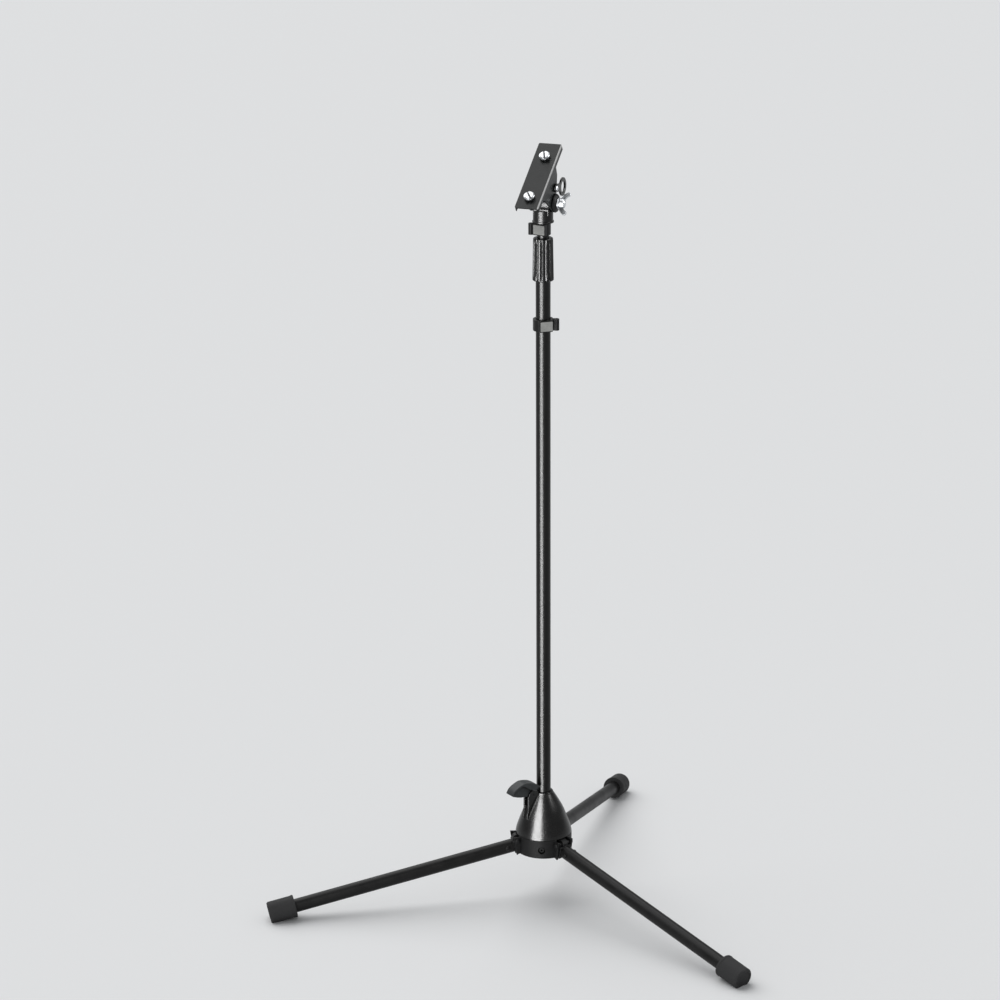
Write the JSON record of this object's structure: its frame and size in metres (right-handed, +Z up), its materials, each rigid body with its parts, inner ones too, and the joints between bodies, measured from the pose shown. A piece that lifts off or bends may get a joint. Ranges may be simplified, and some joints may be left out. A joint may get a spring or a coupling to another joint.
{
  "type": "tripod equipment stand",
  "caption": "Folding tripod stand with a telescopic column and a tilting plate that carries a small desktop unit.",
  "frame": {"origin": "on the floor, on the column's axis", "axes": "+Z up along the column; the head faces -Y, turned 20.5 degrees towards -X"},
  "size_m": [0.6609, 0.6807, 1.0751],
  "materials": {
    "gloss_black": "gloss powder coat",
    "cast_black": "satin, fine orange peel",
    "moulded_black": "moulded",
    "rubber": "matt",
    "nickel": "bright nickel plate",
    "label": "brushed, blank",
    "nylon": "moulded"
  },
  "bodies": {
    "base": {"leg_hub": "cast_black", "hub_set_screw": "cast_black", "column_foot_plug": "moulded_black", "lower_tube": "gloss_black", "clutch_fitting": "moulded_black", "clutch_collet": "nylon", "leg_pin_1": "cast_black", "leg_pin_2": "cast_black", "leg_pin_3": "cast_black"},
    "leg_1": {"leg_tube_1": "gloss_black", "leg_knuckle_1": "cast_black", "leg_rivet_1": "gloss_black", "foot_cap_1": "rubber"},
    "leg_2": {"leg_tube_2": "gloss_black", "leg_knuckle_2": "cast_black", "leg_rivet_2": "gloss_black", "foot_cap_2": "rubber"},
    "leg_3": {"leg_tube_3": "gloss_black", "leg_knuckle_3": "cast_black", "leg_rivet_3": "gloss_black", "foot_cap_3": "rubber"},
    "cone": {"lock_cone": "gloss_black", "cone_bush": "moulded_black", "lever_pin": "cast_black"},
    "lever": {"release_lever": "moulded_black", "brake_pad": "rubber"},
    "clip_low": {"lower_clip": "moulded_black", "lower_label": "label"},
    "grip": {"clutch_grip": "moulded_black"},
    "mast": {"upper_tube": "gloss_black", "upper_tube_bush": "nylon", "head_stud": "nickel"},
    "clip_up": {"upper_clip": "moulded_black", "upper_label": "label"},
    "head": {"head_socket": "cast_black", "friction_disc_left": "moulded_black", "friction_disc_right": "moulded_black"},
    "plate": {"mount_plate": "cast_black", "plate_stud_low": "nickel", "plate_stud_high": "nickel", "tilt_bolt": "nickel", "clamp_cap": "cast_black", "clamp_washer": "nickel", "cable_eye": "gloss_black", "eye_rivet": "nickel"},
    "wing": {"wing_nut": "nickel"}
  },
  "joints": [
    {"name": "leg_1_fold", "type": "hinge", "parent": "base", "child": "leg_1", "pos_m": [-0.03964, -0.00828, 0.0915], "axis": [-0.2045, 0.9789, 0], "range_deg": [0, 101.3]},
    {"name": "leg_2_fold", "type": "hinge", "parent": "base", "child": "leg_2", "pos_m": [0.027, -0.03019, 0.0915], "axis": [-0.7455, -0.6665, 0], "range_deg": [0, 101.3]},
    {"name": "leg_3_fold", "type": "hinge", "parent": "base", "child": "leg_3", "pos_m": [0.01265, 0.03847, 0.0915], "axis": [0.95, -0.3123, 0], "range_deg": [0, 101.3]},
    {"name": "cone_slide", "type": "slide", "parent": "base", "child": "cone", "axis": [0, 0, 1], "range_m": [0, 0.1]},
    {"name": "lever_press", "type": "hinge", "parent": "cone", "child": "lever", "pos_m": [-0.01731, -0.01189, 0.16], "axis": [0.5664, -0.8241, 0], "range_deg": [0, 12], "stiffness_Nm_per_rad": 0.5, "springref_deg": -5.73},
    {"name": "clip_low_slide", "type": "slide", "parent": "base", "child": "clip_low", "axis": [0, 0, 1], "range_m": [-0.5, 0.05]},
    {"name": "clutch_turn", "type": "hinge", "parent": "base", "child": "grip", "pos_m": [0, 0, 0.925], "axis": [0, 0, 1], "range_deg": [0, 90]},
    {"name": "mast_slide", "type": "slide", "parent": "base", "child": "mast", "axis": [0, 0, 1], "range_m": [0, 0.6]},
    {"name": "clip_up_turn", "type": "hinge", "parent": "mast", "child": "clip_up", "pos_m": [0, 0, 0.966], "axis": [0, 0, 1], "continuous": true},
    {"name": "head_swivel", "type": "hinge", "parent": "mast", "child": "head", "pos_m": [0, 0, 0.985], "axis": [0, 0, 1], "continuous": true},
    {"name": "plate_tilt", "type": "hinge", "parent": "head", "child": "plate", "pos_m": [0, 0, 1.002], "axis": [0.9367, -0.3502, 0], "range_deg": [-45, 50]},
    {"name": "wing_turn", "type": "hinge", "parent": "plate", "child": "wing", "pos_m": [0, 0, 1.002], "axis": [0.9367, -0.3502, 0], "continuous": true}
  ],
  "couplings": [
    {"joint": "leg_2_fold", "follows": "leg_1_fold", "ratio": 1},
    {"joint": "leg_3_fold", "follows": "leg_1_fold", "ratio": 1},
    {"joint": "cone_slide", "follows": "leg_1_fold", "m_per_rad": 0.0565}
  ]
}
